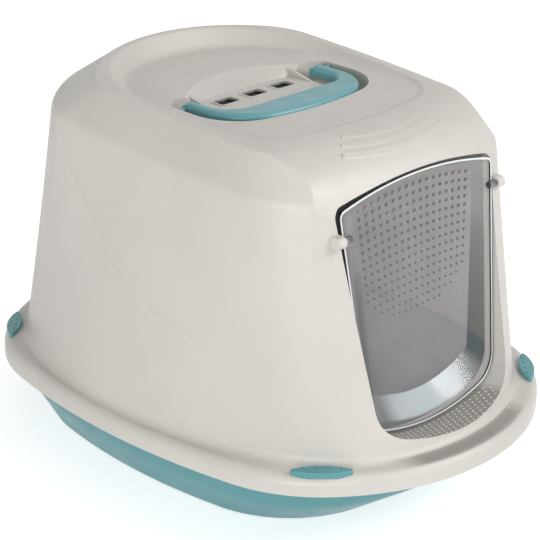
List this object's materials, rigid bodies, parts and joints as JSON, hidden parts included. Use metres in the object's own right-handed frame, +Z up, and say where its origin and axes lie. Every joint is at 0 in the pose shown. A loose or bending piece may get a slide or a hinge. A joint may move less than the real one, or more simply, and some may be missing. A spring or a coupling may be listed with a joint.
{
  "type": "covered litter box",
  "caption": "Covered pet litter box: oval base tray, lift-off hood with a clear swing door, folding carry handle, rim clips and a roof filter.",
  "frame": {"origin": "on the ground under the middle of the footprint", "axes": "+Z up, the doorway faces -Y, +X to the right when looking at the doorway"},
  "size_m": [0.3934, 0.5448, 0.3599],
  "materials": {
    "tray_plastic": "smooth satin-gloss moulded plastic, teal",
    "hood_plastic": "satin moulded plastic, warm light grey",
    "clear_plastic": "clear plastic with raised dots",
    "handle_plastic": "smooth satin-gloss moulded plastic, teal",
    "clip_plastic": "smooth satin-gloss moulded plastic, teal",
    "filter_foam": "dark open-cell carbon foam"
  },
  "bodies": {
    "tray": {"base_tray": "tray_plastic"},
    "hood": {"hood": "hood_plastic"},
    "door": {"door_flap": "clear_plastic"},
    "handle": {"carry_handle": "handle_plastic"},
    "clip_front_left": {"clip_front_left": "clip_plastic"},
    "clip_front_right": {"clip_front_right": "clip_plastic"},
    "clip_rear_left": {"clip_rear_left": "clip_plastic"},
    "clip_rear_right": {"clip_rear_right": "clip_plastic"},
    "filter": {"filter_tray": "hood_plastic", "carbon_filter": "filter_foam"}
  },
  "joints": [
    {"name": "hood_lift", "type": "slide", "parent": "tray", "child": "hood", "axis": [0, 0, 1], "range_m": [0, 0.12]},
    {"name": "door_swing", "type": "hinge", "parent": "hood", "child": "door", "pos_m": [0, -0.1898, 0.271], "axis": [1, 0, 0], "range_deg": [-75, 75]},
    {"name": "handle_fold", "type": "hinge", "parent": "hood", "child": "handle", "pos_m": [0, 0.01, 0.3346], "axis": [-1, 0, 0], "range_deg": [0, 95]},
    {"name": "clip_front_left_pull", "type": "slide", "parent": "hood", "child": "clip_front_left", "axis": [0, 0, 1], "range_m": [0, 0.012]},
    {"name": "clip_front_right_pull", "type": "slide", "parent": "hood", "child": "clip_front_right", "axis": [0, 0, 1], "range_m": [0, 0.012]},
    {"name": "clip_rear_left_pull", "type": "slide", "parent": "hood", "child": "clip_rear_left", "axis": [0, 0, 1], "range_m": [0, 0.012]},
    {"name": "clip_rear_right_pull", "type": "slide", "parent": "hood", "child": "clip_rear_right", "axis": [0, 0, 1], "range_m": [0, 0.012]},
    {"name": "filter_slide", "type": "slide", "parent": "hood", "child": "filter", "axis": [0, 1, 0], "range_m": [0, 0.07]}
  ]
}
